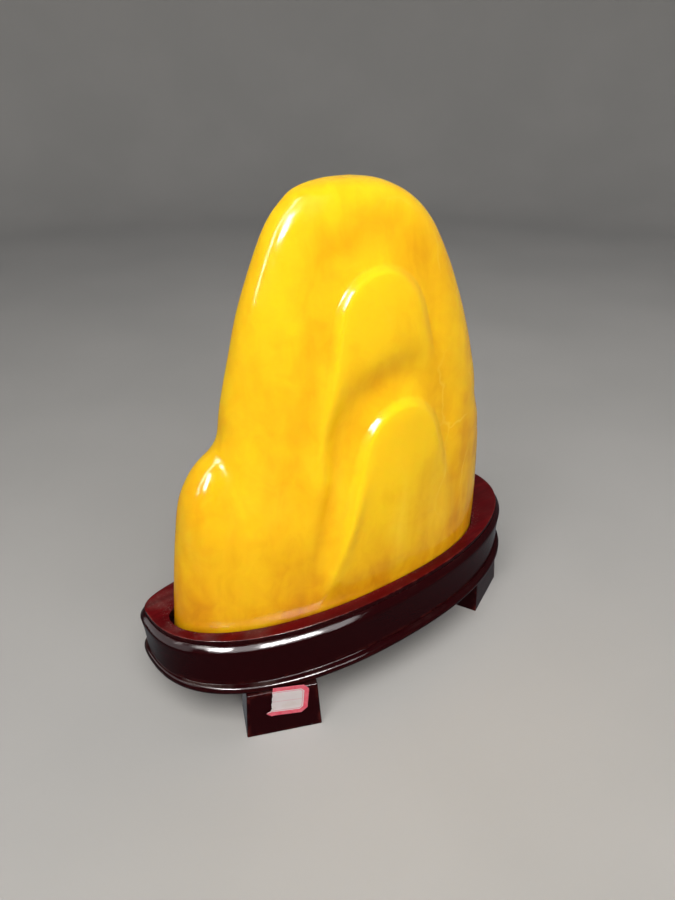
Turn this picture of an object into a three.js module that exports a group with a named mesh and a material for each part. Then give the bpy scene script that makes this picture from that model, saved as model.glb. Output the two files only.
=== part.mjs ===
// A polished yellow stone, worked as a layered mountain, standing in the recess of a dark red
// lacquered wooden stand on four block feet.
// Millimetres, +Z up. The origin is on the ground under the middle of the stand, the stand's
// length runs along X, and the carved front of the stone faces -Y.

import * as THREE from 'three';

// Heights above the ground
const footTop = 45;
const boardBottom = 45.3;
const ringTop = 97;
const recessFloor = 86;
const stoneBase = 86.3;
const stoneTop = 432;

// Plan of the stand, taken at the outer edge of the flat ring: bowed front, nearly straight back
const standTipY = 31.1;
const ringHalfLength = 195.5;
const ringFrontDepth = 98.5;
const ringBackDepth = 36.4;
const standFrontRoundness = 2.2;
const standBackSquareness = 4;

// Moulding of the board. Outsets are measured out of the ring's edge, at the stand's two ends
// and along its front and back.
const lip = { ends: 0.5, sides: 0.5, step: 4.4, softness: 0.6 };
const shoulder = { endReach: 3.8, sideReach: 4.5, rise: 4.8, roundness: 1.2 };
const wall = { endBottom: 1.5, sideBottom: 5.5 };
const nosing = { endReach: 2.4, sideReach: 5.2, middle: 48.9, rise: 4.1, roundness: 2.3, lowAngle: -66 };

// Block feet. Each stands at an angle round the plan, out of the ring's edge by its outset, and
// its face is turned from the front towards the right. The face leans in by footBatter at the top.
const footWidth = 64.8;
const footTaper = 2.6;
const footBatter = 3.2;
const footDepth = 36;
const footBevel = 1.2;
const footPlaces = {
  foot_front_left: { angle: 233.2, outset: 13.6, turn: -23.7 },
  foot_front_right: { angle: 314.5, outset: 4, turn: 24 },
  foot_back_left: { angle: 115, outset: 10, turn: 180 },
  foot_back_right: { angle: 65, outset: 10, turn: 180 },
};

// Outline of the stone seen from the front: left and right edges as [x, z], bottom to summit
const stoneLeftEdge = [
  [-180, stoneBase], [-175.5, 130], [-169.8, 172], [-164, 203], [-156, 220], [-146.5, 231],
  [-135, 239], [-127.3, 250], [-123, 275], [-114, 312], [-104, 350], [-84, 399],
  [-68, 420], [-55, 428], [-35, 431.7], [-13, stoneTop],
];
const stoneRightEdge = [
  [138, stoneBase], [138.5, 125], [136.5, 165], [134, 192], [131.5, 207], [130, 217],
  [127.5, 226], [123.3, 239], [119, 262], [108.2, 298], [93.5, 334], [77, 367],
  [59, 395], [37.5, 415], [11, 428], [-13, stoneTop],
];

// Thickness of the stone and the roundness of its level sections. The front face is set back by
// a share of its depth as it climbs, and rolls over quickly at the rim.
const stoneTipY = 11.3;
const stoneFrontDepth = 66;
const stoneBackDepth = 30;
const stoneLean = -13;
const stoneTwist = -6;
const stoneFace = { setBack: 0.57, setBackPower: 2.6, rimPower: 60, rimRoundness: 2.2 };
const stoneBackTaper = 2.8;
const leastDepth = 0.01;
const stoneLeftRoundness = 2;
const stoneRightRoundness = 2.5;
const stoneBackRoundness = 2.4;

// Recess round the foot of the stone
const recessGap = { length: 2.4, shift: -1.2, front: 1, back: 2 };

// Low lobe on the left of the main body. It grows out of the body between its foot and its full
// height, and rounds off at its top. The body's own edge leaves the lobe's between two heights,
// and comes out again at the lobe's top.
const lobe = {
  foot: 120, full: 190, top: 254, innerX: -127.3, outerHalfWidth: 17, innerHalfWidth: 60, depth: 27,
  merge: 4, partFrom: 165, partTo: 240,
};

// Raised peaks on the front. Each is an arch: a rounded head of the given half-width and
// height, with legs that spread by flare for every millimetre below the head. A rib runs down
// its left leg, a hollow lies outside it, and its right side is lower and fades sooner. Drops
// are measured down from the top.
const peaks = [
  {
    x: -16, top: 373, headHalfWidth: 30, headHeight: 40, flare: 0.21, foot: 110,
    rise: 5.4, fadeFrom: 25, fadeTo: 150, hollow: 4.5, hollowTo: 190, rib: 3.5, ribTo: 215,
  },
  {
    x: -1, top: 270, headHalfWidth: 28, headHeight: 40, flare: 0.3, foot: 88,
    rise: 6.6, fadeFrom: 30, fadeTo: 235, hollow: 6, hollowTo: 215, rib: 4, ribTo: 185,
  },
];
const peakHeadRoundness = 2.2;
const peakEdge = { outsideLeft: 6, outsideRight: 12, inside: 5, sideReach: 50 };
const peakRight = { rise: 0.6, fadeFrom: 25, fadeTo: 105 };
const peakHollow = {
  above: { distance: 20, width: 17 }, beside: { distance: 11, width: 9 }, besideDrop: 60, rightShare: 0.4,
};
const peakRib = { inset: 3, width: 9, from: 20 };
const reliefFoot = { from: 98, to: 128 };
const reliefEdge = { from: 0.05, to: 0.5 };

// Fineness of the solids
const stoneRings = 48;
const ringCrowding = 1.5;
const stoneFrontSteps = 52;
const stoneBackSteps = 22;
const boardFrontSteps = 38;
const boardBackSteps = 24;
const nosingSteps = 6;
const shoulderSteps = 4;
const archSteps = 40;
const heightSearchSteps = 30;

const { clamp, degToRad, lerp, smoothstep } = THREE.MathUtils;

// Signed power, for rounded sections between an ellipse and a rectangle
function bend(value, roundness) {
  return Math.sign(value) * Math.abs(value) ** (2 / roundness);
}

// Height of a rounded section over a place across it, from -1 at one edge to 1 at the other
function crown(place, roundness) {
  return Math.max(0, 1 - Math.abs(place) ** roundness) ** (1 / roundness);
}

// Angles once round a section: the back half from the right tip, then the front half
function anglesRound(backSteps, frontSteps) {
  const angles = [];
  for (let i = 0; i < backSteps; i += 1) {
    angles.push(Math.PI * i / backSteps);
  }
  for (let i = 0; i < frontSteps; i += 1) {
    angles.push(Math.PI * (1 + i / frontSteps));
  }
  return angles;
}

// Closed solid through a list of rings of points, with flat or pointed ends. Each patch between
// two rings is split along its shorter diagonal.
function loftGeometry(rings, firstCentre, lastCentre) {
  const count = rings[0].length;
  const positions = rings.flat().concat([firstCentre, lastCentre]).flatMap((p) => [p.x, p.y, p.z]);
  const first = rings.length * count;
  const last = first + 1;
  const faces = [];
  for (let j = 0; j < count; j += 1) {
    const k = (j + 1) % count;
    for (let i = 0; i + 1 < rings.length; i += 1) {
      const low = i * count;
      const high = low + count;
      const rising = rings[i][j].distanceTo(rings[i + 1][k]);
      const falling = rings[i][k].distanceTo(rings[i + 1][j]);
      if (rising < falling) {
        faces.push(low + j, low + k, high + k, low + j, high + k, high + j);
      } else {
        faces.push(low + j, low + k, high + j, low + k, high + k, high + j);
      }
    }
    faces.push(first, k, j);
    faces.push(last, (rings.length - 1) * count + j, (rings.length - 1) * count + k);
  }
  const geometry = new THREE.BufferGeometry();
  geometry.setAttribute('position', new THREE.Float32BufferAttribute(positions, 3));
  geometry.setIndex(faces);
  geometry.computeVertexNormals();
  return geometry;
}

// Edge curves of the stone
function edgeCurve(points) {
  const corners = points.map(([x, z]) => new THREE.Vector3(x, 0, z));
  return new THREE.CatmullRomCurve3(corners, false, 'catmullrom', 0.5);
}

const leftCurve = edgeCurve(stoneLeftEdge);
const rightCurve = edgeCurve(stoneRightEdge);

// Half-width of a peak's arch at a drop below its top
function archHalfWidth(peak, drop) {
  const share = 1 - Math.min(drop / peak.headHeight, 1);
  const head = (1 - share ** peakHeadRoundness) ** (1 / peakHeadRoundness);
  return peak.headHalfWidth * head + peak.flare * drop;
}

// Arch of a peak as a line of points from the left foot over the top to the right foot
function archLine(peak) {
  const half = [];
  for (let i = 0; i <= archSteps; i += 1) {
    const drop = (peak.top - peak.foot) * (i / archSteps) ** 2;
    half.push(new THREE.Vector2(archHalfWidth(peak, drop), peak.top - drop));
  }
  const left = half.slice(1).reverse().map((p) => new THREE.Vector2(peak.x - p.x, p.y));
  const right = half.map((p) => new THREE.Vector2(peak.x + p.x, p.y));
  return left.concat(right);
}

const archLines = peaks.map(archLine);

// Distance from a point of the front view to a line of points
function distanceToLine(point, line) {
  let nearest = Infinity;
  for (let i = 0; i + 1 < line.length; i += 1) {
    const along = line[i + 1].clone().sub(line[i]);
    const offset = point.clone().sub(line[i]);
    const share = clamp(offset.dot(along) / along.lengthSq(), 0, 1);
    nearest = Math.min(nearest, offset.sub(along.multiplyScalar(share)).length());
  }
  return nearest;
}

// How far the carved front stands out at a point of the front view
function relief(x, z) {
  const point = new THREE.Vector2(x, z);
  let height = 0;
  peaks.forEach((peak, index) => {
    const drop = peak.top - z;
    const within = drop > 0 && Math.abs(x - peak.x) < archHalfWidth(peak, drop);
    const inside = distanceToLine(point, archLines[index]) * (within ? 1 : -1);
    const toRight = smoothstep(x - peak.x, 0, peakEdge.sideReach);
    const slope = lerp(peakEdge.outsideLeft, peakEdge.outsideRight, toRight);
    const rightRise = peakRight.rise * (1 - smoothstep(drop, peakRight.fadeFrom, peakRight.fadeTo));
    const rise = peak.rise * lerp(1, rightRise, toRight);
    const fade = 1 - smoothstep(drop, peak.fadeFrom, peak.fadeTo);
    height += rise * fade * smoothstep(inside, -slope, peakEdge.inside);
    const lowered = smoothstep(drop, 0, peakHollow.besideDrop);
    const hollowDistance = lerp(peakHollow.above.distance, peakHollow.beside.distance, lowered);
    const hollowWidth = lerp(peakHollow.above.width, peakHollow.beside.width, lowered);
    const beyond = (inside + hollowDistance) / hollowWidth;
    const hollowShare = lerp(1, peakHollow.rightShare, toRight);
    const hollowFade = 1 - smoothstep(drop, 0, peak.hollowTo);
    height -= peak.hollow * hollowShare * hollowFade * Math.exp(-beyond * beyond);
    const aside = (inside - peakRib.inset) / peakRib.width;
    const ribFade = smoothstep(drop, peakRib.from, peak.ribTo / 2)
      * (1 - smoothstep(drop, peak.ribTo / 2, peak.ribTo));
    height += peak.rib * (1 - toRight) * ribFade * Math.exp(-aside * aside);
  });
  return height * smoothstep(z, reliefFoot.from, reliefFoot.to);
}

// Share of the full front depth over a place across the section: the main body, joined softly
// to the lobe on its left
function frontShare(x, left, right, depth) {
  const risen = (left.z - stoneBase) / (lobe.top - stoneBase);
  const innerEdge = risen < 1 ? lerp(stoneLeftEdge[0][0], lobe.innerX, risen) : left.x;
  const parted = smoothstep(left.z, lobe.partFrom, lobe.partTo);
  const bodyLeft = lerp(left.x, innerEdge, parted);
  const bodyMiddle = (bodyLeft + right.x) / 2;
  const place = (x - bodyMiddle) / (right.x - bodyMiddle);
  const body = crown(place, place > 0 ? stoneRightRoundness : stoneLeftRoundness);
  const climbed = clamp((left.z - lobe.full) / (lobe.top - lobe.full), 0, 1);
  const lobeDepth = lobe.depth * smoothstep(left.z, lobe.foot, lobe.full) * crown(climbed, 2);
  const fromRidge = x - left.x - lobe.outerHalfWidth;
  const lobeHalfWidth = fromRidge < 0 ? lobe.outerHalfWidth : lobe.innerHalfWidth;
  const beside = lobeDepth / depth * crown(fromRidge / lobeHalfWidth, 2);
  return (body ** lobe.merge + beside ** lobe.merge) ** (1 / lobe.merge);
}

// Share of the front depth that is left at a climb from 0 at the base to 1 at the summit
function frontSwell(climb) {
  const face = 1 - stoneFace.setBack * climb ** stoneFace.setBackPower;
  return face * (1 - climb ** stoneFace.rimPower) ** (1 / stoneFace.rimRoundness);
}

// Point of the stone's surface: share runs up the edges, angle round the section
function stonePoint(share, angle, gap) {
  const left = leftCurve.getPoint(share);
  const right = rightCurve.getPoint(share);
  const middle = left.clone().add(right).multiplyScalar(0.5);
  const half = right.clone().sub(left).multiplyScalar(0.5);
  const climb = clamp((middle.z - stoneBase) / (stoneTop - stoneBase), 0, 1);
  const backDepth = stoneBackDepth * Math.sqrt(1 - climb ** stoneBackTaper);
  const atFront = Math.sin(angle) < 0;
  const frontRoundness = Math.cos(angle) > 0 ? stoneRightRoundness : stoneLeftRoundness;
  const across = bend(Math.cos(angle), atFront ? frontRoundness : stoneBackRoundness);
  const frontDepth = Math.max(stoneFrontDepth * frontSwell(climb), leastDepth);
  const facing = atFront ? frontShare(middle.x + half.x * across, left, right, frontDepth) : 0;
  const behind = atFront ? 0 : bend(Math.sin(angle), stoneBackRoundness);
  const depth = behind * (backDepth + gap.back) - facing * (frontDepth + gap.front);
  const twist = stoneTwist * half.x / (stoneRightEdge[0][0] - stoneLeftEdge[0][0]) * 2;
  const x = middle.x + gap.shift + (half.x + gap.length) * across;
  const z = middle.z + half.z * across;
  const y = stoneTipY + stoneLean * climb * climb + depth + twist * across;
  return { point: new THREE.Vector3(x, y, z), facing };
}

const noGap = { length: 0, shift: 0, front: 0, back: 0 };

function stoneSurface(share, angle) {
  const { point, facing } = stonePoint(share, angle, noGap);
  const weight = smoothstep(facing, reliefEdge.from, reliefEdge.to);
  point.y -= weight > 0 ? weight * relief(point.x, point.z) : 0;
  return point;
}

// Share of the edge curves at which the middle of the section reaches a height
function shareAtHeight(height) {
  let low = 0;
  let high = 1;
  for (let i = 0; i < heightSearchSteps; i += 1) {
    const share = (low + high) / 2;
    const middle = (leftCurve.getPoint(share).z + rightCurve.getPoint(share).z) / 2;
    if (middle < height) {
      low = share;
    } else {
      high = share;
    }
  }
  return (low + high) / 2;
}

function makeStone() {
  const angles = anglesRound(stoneBackSteps, stoneFrontSteps);
  const rings = [];
  for (let i = 0; i < stoneRings; i += 1) {
    const climb = 1 - (1 - i / stoneRings) ** ringCrowding;
    const share = i === 0 ? 0 : shareAtHeight(stoneBase + climb * (stoneTop - stoneBase));
    rings.push(angles.map((angle) => stoneSurface(share, angle)));
  }
  const base = new THREE.Vector3(0, stoneTipY, stoneBase);
  const summit = stonePoint(1, 0, noGap).point;
  return loftGeometry(rings, base, summit);
}

// Point of the stand's plan at an angle, moved out of the ring's edge along its normal
function standPoint(angle, endOutset, sideOutset) {
  const onEdge = (a) => {
    const atFront = Math.sin(a) < 0;
    const roundness = atFront ? standFrontRoundness : standBackSquareness;
    const depth = atFront ? ringFrontDepth : ringBackDepth;
    const x = ringHalfLength * bend(Math.cos(a), roundness);
    return new THREE.Vector2(x, standTipY + depth * bend(Math.sin(a), roundness));
  };
  const small = 1e-3;
  const tangent = onEdge(angle + small).sub(onEdge(angle - small)).normalize();
  const normal = new THREE.Vector2(tangent.y, -tangent.x);
  const outset = endOutset * normal.x ** 2 + sideOutset * normal.y ** 2;
  return onEdge(angle).addScaledVector(normal, outset);
}

// Rows of the moulding from the underside up: outset at the ends, at the sides, and height
function mouldingRows() {
  const shoulderFoot = ringTop - lip.step - shoulder.rise;
  const low = degToRad(nosing.lowAngle);
  const fall = (nosing.middle - boardBottom) / -bend(Math.sin(low), nosing.roundness);
  const rows = [];
  for (let i = 0; i <= nosingSteps; i += 1) {
    const angle = lerp(low, Math.PI / 2, i / nosingSteps);
    const out = bend(Math.cos(angle), nosing.roundness);
    const up = bend(Math.sin(angle), nosing.roundness);
    rows.push([
      wall.endBottom + nosing.endReach * out,
      wall.sideBottom + nosing.sideReach * out,
      nosing.middle + (up < 0 ? fall : nosing.rise) * up,
    ]);
  }
  for (let i = 0; i <= shoulderSteps; i += 1) {
    const angle = Math.PI / 2 * i / shoulderSteps;
    const out = bend(Math.cos(angle), shoulder.roundness);
    rows.push([
      lip.ends + shoulder.endReach * out,
      lip.sides + shoulder.sideReach * out,
      shoulderFoot + shoulder.rise * bend(Math.sin(angle), shoulder.roundness),
    ]);
  }
  rows.push([0, 0, ringTop - lip.step]);
  rows.push([0, 0, ringTop - lip.softness]);
  rows.push([-lip.softness, -lip.softness, ringTop]);
  return rows;
}

function makeBoard() {
  const angles = anglesRound(boardBackSteps, boardFrontSteps);
  const rings = mouldingRows().map(([ends, sides, z]) => angles.map((angle) => {
    const point = standPoint(angle, ends, sides);
    return new THREE.Vector3(point.x, point.y, z);
  }));
  const recessEdge = angles.map((angle) => stonePoint(0, angle, recessGap).point);
  rings.push(recessEdge.map((p) => new THREE.Vector3(p.x, p.y, ringTop)));
  rings.push(recessEdge.map((p) => new THREE.Vector3(p.x, p.y, recessFloor)));
  const underside = new THREE.Vector3(0, 0, boardBottom);
  const floor = new THREE.Vector3(0, stoneTipY, recessFloor);
  return loftGeometry(rings, underside, floor);
}

// Block with softened edges, a little narrower at the top. Its outer face stands on the line y = 0.
function makeFoot() {
  const half = footWidth / 2 - footBevel;
  const sole = new THREE.Shape();
  sole.moveTo(-half, footBevel);
  sole.lineTo(half, footBevel);
  sole.lineTo(half, footDepth - footBevel);
  sole.lineTo(-half, footDepth - footBevel);
  sole.closePath();
  const block = new THREE.ExtrudeGeometry(sole, {
    depth: footTop - 2 * footBevel,
    bevelEnabled: true,
    bevelThickness: footBevel,
    bevelSize: footBevel,
    bevelSegments: 1,
  });
  block.translate(0, 0, footBevel);
  const corners = block.attributes.position;
  for (let i = 0; i < corners.count; i += 1) {
    const climb = corners.getZ(i) / footTop;
    corners.setX(i, corners.getX(i) * (1 - footTaper / (footWidth / 2) * climb));
    corners.setY(i, corners.getY(i) + footBatter * climb * (1 - corners.getY(i) / footDepth));
  }
  block.computeVertexNormals();
  return block;
}

const stoneFinish = new THREE.MeshStandardMaterial({ color: 0xf0b41e, roughness: 0.16, metalness: 0 });
const lacquer = new THREE.MeshStandardMaterial({ color: 0x4a0d10, roughness: 0.22, metalness: 0 });

const ornament = new THREE.Group();

const stone = new THREE.Mesh(makeStone(), stoneFinish);
stone.name = 'stone';
ornament.add(stone);

const stand = new THREE.Group();
const board = new THREE.Mesh(makeBoard(), lacquer);
board.name = 'stand_board';
stand.add(board);
for (const [name, { angle, outset, turn }] of Object.entries(footPlaces)) {
  const point = standPoint(degToRad(angle), outset, outset);
  const foot = new THREE.Mesh(makeFoot(), lacquer);
  foot.name = name;
  foot.position.set(point.x, point.y, 0);
  foot.rotation.z = degToRad(turn);
  stand.add(foot);
}
ornament.add(stand);

export default ornament;
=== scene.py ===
import math

import bmesh
import bpy
import numpy as np
from mathutils import Matrix, Vector


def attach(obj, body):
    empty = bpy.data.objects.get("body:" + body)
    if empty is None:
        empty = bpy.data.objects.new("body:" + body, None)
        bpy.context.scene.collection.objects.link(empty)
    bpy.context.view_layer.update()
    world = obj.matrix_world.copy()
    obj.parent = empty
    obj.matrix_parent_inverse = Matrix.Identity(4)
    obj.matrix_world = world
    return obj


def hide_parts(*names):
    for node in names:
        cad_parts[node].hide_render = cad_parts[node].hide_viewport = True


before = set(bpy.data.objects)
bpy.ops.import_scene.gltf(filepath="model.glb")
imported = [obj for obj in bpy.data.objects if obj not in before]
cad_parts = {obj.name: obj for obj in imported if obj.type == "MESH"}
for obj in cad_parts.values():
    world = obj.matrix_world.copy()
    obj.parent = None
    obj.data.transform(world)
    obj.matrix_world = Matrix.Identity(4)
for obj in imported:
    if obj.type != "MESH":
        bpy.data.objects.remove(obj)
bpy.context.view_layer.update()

mm = 0.001
print("frame loaded:", ", ".join(sorted(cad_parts)))


# node helpers

def put(tree, kind, inputs=None, **settings):
    node = tree.nodes.new(kind)
    count = len(tree.nodes)
    node.location = (230 * (count % 9), -280 * (count // 9))
    for key, value in settings.items():
        setattr(node, key, value)
    for key, value in (inputs or {}).items():
        socket = node.inputs[key]
        if isinstance(value, bpy.types.NodeSocket):
            tree.links.new(value, socket)
        else:
            socket.default_value = value
    return node


def maths(tree, operation, first, second=0.0, third=0.0, clamp=False):
    values = {0: first, 1: second, 2: third}
    return put(tree, "ShaderNodeMath", values, operation=operation, use_clamp=clamp).outputs[0]


def ramp(tree, value, low, high, start=0.0, end=1.0):
    values = {"Value": value, "From Min": low, "From Max": high, "To Min": start, "To Max": end}
    return put(tree, "ShaderNodeMapRange", values, interpolation_type="SMOOTHSTEP").outputs[0]


def noise(tree, place, scale, detail=3.0, roughness=0.5, distortion=0.0):
    values = {
        "Vector": place, "Scale": scale, "Detail": detail,
        "Roughness": roughness, "Distortion": distortion,
    }
    return put(tree, "ShaderNodeTexNoise", values).outputs["Fac"]


def vectorMaths(tree, operation, first, second):
    key = 3 if operation == "SCALE" else 1
    return put(tree, "ShaderNodeVectorMath", {0: first, key: second}, operation=operation).outputs[0]


def blend(tree, share, first, second):
    return put(tree, "ShaderNodeMix", {0: share, 6: first, 7: second}, data_type="RGBA").outputs[2]


def placeOf(tree, scale=(1.0, 1.0, 1.0), turn=(0.0, 0.0, 0.0)):
    coords = put(tree, "ShaderNodeTexCoord")
    values = {"Vector": coords.outputs["Object"], "Scale": scale, "Rotation": turn}
    return put(tree, "ShaderNodeMapping", values).outputs["Vector"]


def axesOf(tree, vector):
    return put(tree, "ShaderNodeSeparateXYZ", {"Vector": vector}).outputs


def facingUp(tree, low, high):
    normal = put(tree, "ShaderNodeNewGeometry").outputs["Normal"]
    return ramp(tree, axesOf(tree, normal)["Z"], low, high)


def attributeOf(tree, name):
    return put(tree, "ShaderNodeAttribute", attribute_name=name).outputs["Fac"]


def newGroup(name, kind, inputs, outputs):
    tree = bpy.data.node_groups.new(name, kind)
    for label, socketKind in inputs.items():
        tree.interface.new_socket(name=label, in_out="INPUT", socket_type=socketKind)
    for label, socketKind in outputs.items():
        tree.interface.new_socket(name=label, in_out="OUTPUT", socket_type=socketKind)
    return tree, put(tree, "NodeGroupInput").outputs, put(tree, "NodeGroupOutput").inputs


def useGroup(tree, group, inputs):
    return put(tree, "ShaderNodeGroup", inputs, node_tree=group).outputs


def newFinish(name, fixed):
    material = bpy.data.materials.new(name)
    material.use_nodes = True
    tree = material.node_tree
    shader = tree.nodes["Principled BSDF"]
    for key, value in fixed.items():
        shader.inputs[key].default_value = value
    return material, tree, shader


def addBump(tree, shader, height, strength, distance):
    values = {"Height": height, "Strength": strength, "Distance": distance}
    bump = put(tree, "ShaderNodeBump", values)
    tree.links.new(bump.outputs["Normal"], shader.inputs["Normal"])


# effects, as shader groups

number = "NodeSocketFloat"


def makeDustFilmAndGlint():
    tree, given, result = newGroup(
        "dustFilmAndGlint", "ShaderNodeTree",
        {"Scale": number, "Amount": number, "CreviceLintAndGlint": number}, {"Mask": number})
    place = placeOf(tree)
    upward = facingUp(tree, 0.55, 0.98)
    patches = ramp(tree, noise(tree, place, given["Scale"], 4.0, 0.6), 0.42, 0.72)
    fine = maths(tree, "MULTIPLY", given["Scale"], 22.0)
    specks = ramp(tree, noise(tree, place, fine, 2.0, 0.6), 0.56, 0.70)
    film = maths(tree, "MULTIPLY", maths(tree, "MULTIPLY", upward, patches), given["Amount"])
    film = maths(tree, "MULTIPLY", film, maths(tree, "MULTIPLY_ADD", specks, 0.7, 0.5))
    # lint in the crevices; in the groove above the nosing it also paints a thin reflection line
    lintAndGlint = maths(tree, "MULTIPLY", given["CreviceLintAndGlint"], specks)
    total = maths(tree, "ADD", film, lintAndGlint, clamp=True)
    tree.links.new(total, result["Mask"])
    return tree


# rubbed lacquer at the edges, together with a painted highlight line along them
def makeRubAndEdgeGlint():
    tree, given, result = newGroup(
        "rubAndEdgeGlint", "ShaderNodeTree",
        {"Edge": number, "Scale": number, "Amount": number}, {"Mask": number})
    place = placeOf(tree)
    broken = ramp(tree, noise(tree, place, given["Scale"], 5.0, 0.65), 0.44, 0.66)
    sharpened = maths(tree, "POWER", given["Edge"], 1.6)
    mask = maths(tree, "MULTIPLY", maths(tree, "MULTIPLY", sharpened, broken), given["Amount"], clamp=True)
    tree.links.new(mask, result["Mask"])
    return tree


def makeCloudiness():
    tree, given, result = newGroup(
        "cloudiness", "ShaderNodeTree",
        {"Scale": number, "Stretch": "NodeSocketVector"}, {"Broad": number, "Fine": number})
    coords = put(tree, "ShaderNodeTexCoord").outputs["Object"]
    place = put(tree, "ShaderNodeMapping", {"Vector": coords, "Scale": given["Stretch"]}).outputs["Vector"]
    fine = maths(tree, "MULTIPLY", given["Scale"], 4.3)
    broadNoise = noise(tree, place, given["Scale"], 3.0, 0.55, 0.7)
    tree.links.new(ramp(tree, broadNoise, 0.30, 0.70), result["Broad"])
    fineNoise = noise(tree, place, fine, 5.0, 0.6, 0.9)
    tree.links.new(ramp(tree, fineNoise, 0.30, 0.70), result["Fine"])
    return tree


dustFilmAndGlint = makeDustFilmAndGlint()
rubAndEdgeGlint = makeRubAndEdgeGlint()
cloudiness = makeCloudiness()


# finishes

stoneFinish = {
    "deepAmber": (0.55, 0.19, 0.004, 1.0),
    "amber": (0.72, 0.32, 0.005, 1.0),
    "yellow": (0.84, 0.45, 0.007, 1.0),
    "lemon": (0.93, 0.57, 0.010, 1.0),
    "wisp": (0.95, 0.62, 0.035, 1.0),
    "seam": (0.98, 0.72, 0.10, 1.0),
    "stops": {"deepAmber": 0.22, "amber": 0.45, "yellow": 0.70, "lemon": 0.98},
    "startTone": 0.18,
    # the carving share paints shade into the hollows and light onto the peaks
    "toneShares": {
        "rising": 0.20, "aboveRing": 0.22, "broadCloud": 0.27, "fineCloud": 0.14,
        "streaks": 0.16, "toRight": -0.15, "carving": 0.042,
    },
    "cloudScale": 12.0,
    "streakScale": 24.0,
    "wispAmount": 0.5,
    "crackAmount": 0.5,
    "specular": 0.22,
    "translucency": 0.55,
    "bleed": (1.0, 0.55, 0.06),
    "depth": 0.022,
    "roughness": (0.10, 0.20),
}


def makeStoneFinish(look):
    material, tree, shader = newFinish("polishedStone", {
        "IOR": 1.5,
        "Specular IOR Level": look["specular"],
        "Subsurface Weight": look["translucency"],
        "Subsurface Radius": look["bleed"],
        "Subsurface Scale": look["depth"],
    })
    place = placeOf(tree)
    axes = axesOf(tree, place)
    cloud = useGroup(tree, cloudiness, {"Scale": look["cloudScale"], "Stretch": (1.0, 1.0, 0.7)})
    streak = useGroup(tree, cloudiness, {"Scale": look["streakScale"], "Stretch": (1.0, 1.0, 0.16)})
    aboveRing = ramp(tree, axes["Z"], 0.088, 0.165)
    toRight = ramp(tree, axes["X"], -0.05, 0.15)
    parts = {
        "rising": ramp(tree, axes["Z"], 0.05, 0.36), "aboveRing": aboveRing,
        "broadCloud": cloud["Broad"], "fineCloud": cloud["Fine"], "streaks": streak["Broad"],
        "toRight": toRight,
        # relief depth, for painted shade in the hollows and painted light on the peaks
        "carving": attributeOf(tree, "carving"),     # below zero in the hollows, above on the peaks
    }
    tone = look["startTone"]
    for name, share in look["toneShares"].items():
        tone = maths(tree, "MULTIPLY_ADD", parts[name], share, tone)
    colours = put(tree, "ShaderNodeValToRGB", {"Fac": tone})
    stops = colours.color_ramp.elements
    stops.remove(stops[1])
    for index, (name, position) in enumerate(look["stops"].items()):
        stop = stops.new(position) if index else stops[0]
        stop.position = position
        stop.color = look[name]

    # pale wisps, low down
    low = maths(tree, "MULTIPLY", aboveRing, ramp(tree, axes["Z"], 0.12, 0.27, 1.0, 0.0))
    slanted = placeOf(tree, (1.0, 1.0, 0.3), (0.0, 0.35, 0.0))
    wisp = ramp(tree, noise(tree, slanted, 22.0, 3.0, 0.55, 0.6), 0.50, 0.72)
    wisp = maths(tree, "MULTIPLY", wisp, maths(tree, "MULTIPLY", low, look["wispAmount"]))
    pale = blend(tree, wisp, colours.outputs["Color"], look["wisp"])

    # healed cracks, thin and pale, on the right
    warp = put(tree, "ShaderNodeTexNoise", {"Vector": place, "Scale": 24.0, "Detail": 3.0})
    bent = vectorMaths(tree, "SCALE", warp.outputs["Color"], 0.035)
    bent = vectorMaths(tree, "ADD", place, bent)
    cells = put(tree, "ShaderNodeTexVoronoi", {"Vector": bent, "Scale": 15.0}, feature="DISTANCE_TO_EDGE")
    crack = ramp(tree, cells.outputs["Distance"], 0.0, 0.018, 1.0, 0.0)
    patch = ramp(tree, noise(tree, place, 13.0, 2.0), 0.45, 0.58)
    crack = maths(tree, "MULTIPLY", crack, maths(tree, "MULTIPLY", patch, toRight))
    colour = blend(tree, maths(tree, "MULTIPLY", crack, look["crackAmount"]), pale, look["seam"])
    tree.links.new(colour, shader.inputs["Base Color"])

    # polish, a little duller in patches
    tree.links.new(ramp(tree, cloud["Fine"], 0.1, 1.0, *look["roughness"]), shader.inputs["Roughness"])
    addBump(tree, shader, noise(tree, place, 55.0, 2.0), 0.10, 0.002)
    return material


lacquerFinish = {
    "red": (0.115, 0.0026, 0.0042, 1.0),
    # painted shade: the near-brown of the sides
    "paintedShadeBrown": (0.014, 0.0012, 0.0018, 1.0),
    "rubbedAndGlint": (0.22, 0.035, 0.026, 1.0),
    "dustAndGlint": (0.42, 0.36, 0.31, 1.0),
    "dustAmount": 0.18,
    "creviceLintAndGlintAmount": 0.45,
    "rubAndGlintAmount": 0.3,
    "specular": 0.06,
    "roughness": (0.05, 0.10),
    "dustRoughness": 0.4,
}


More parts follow.
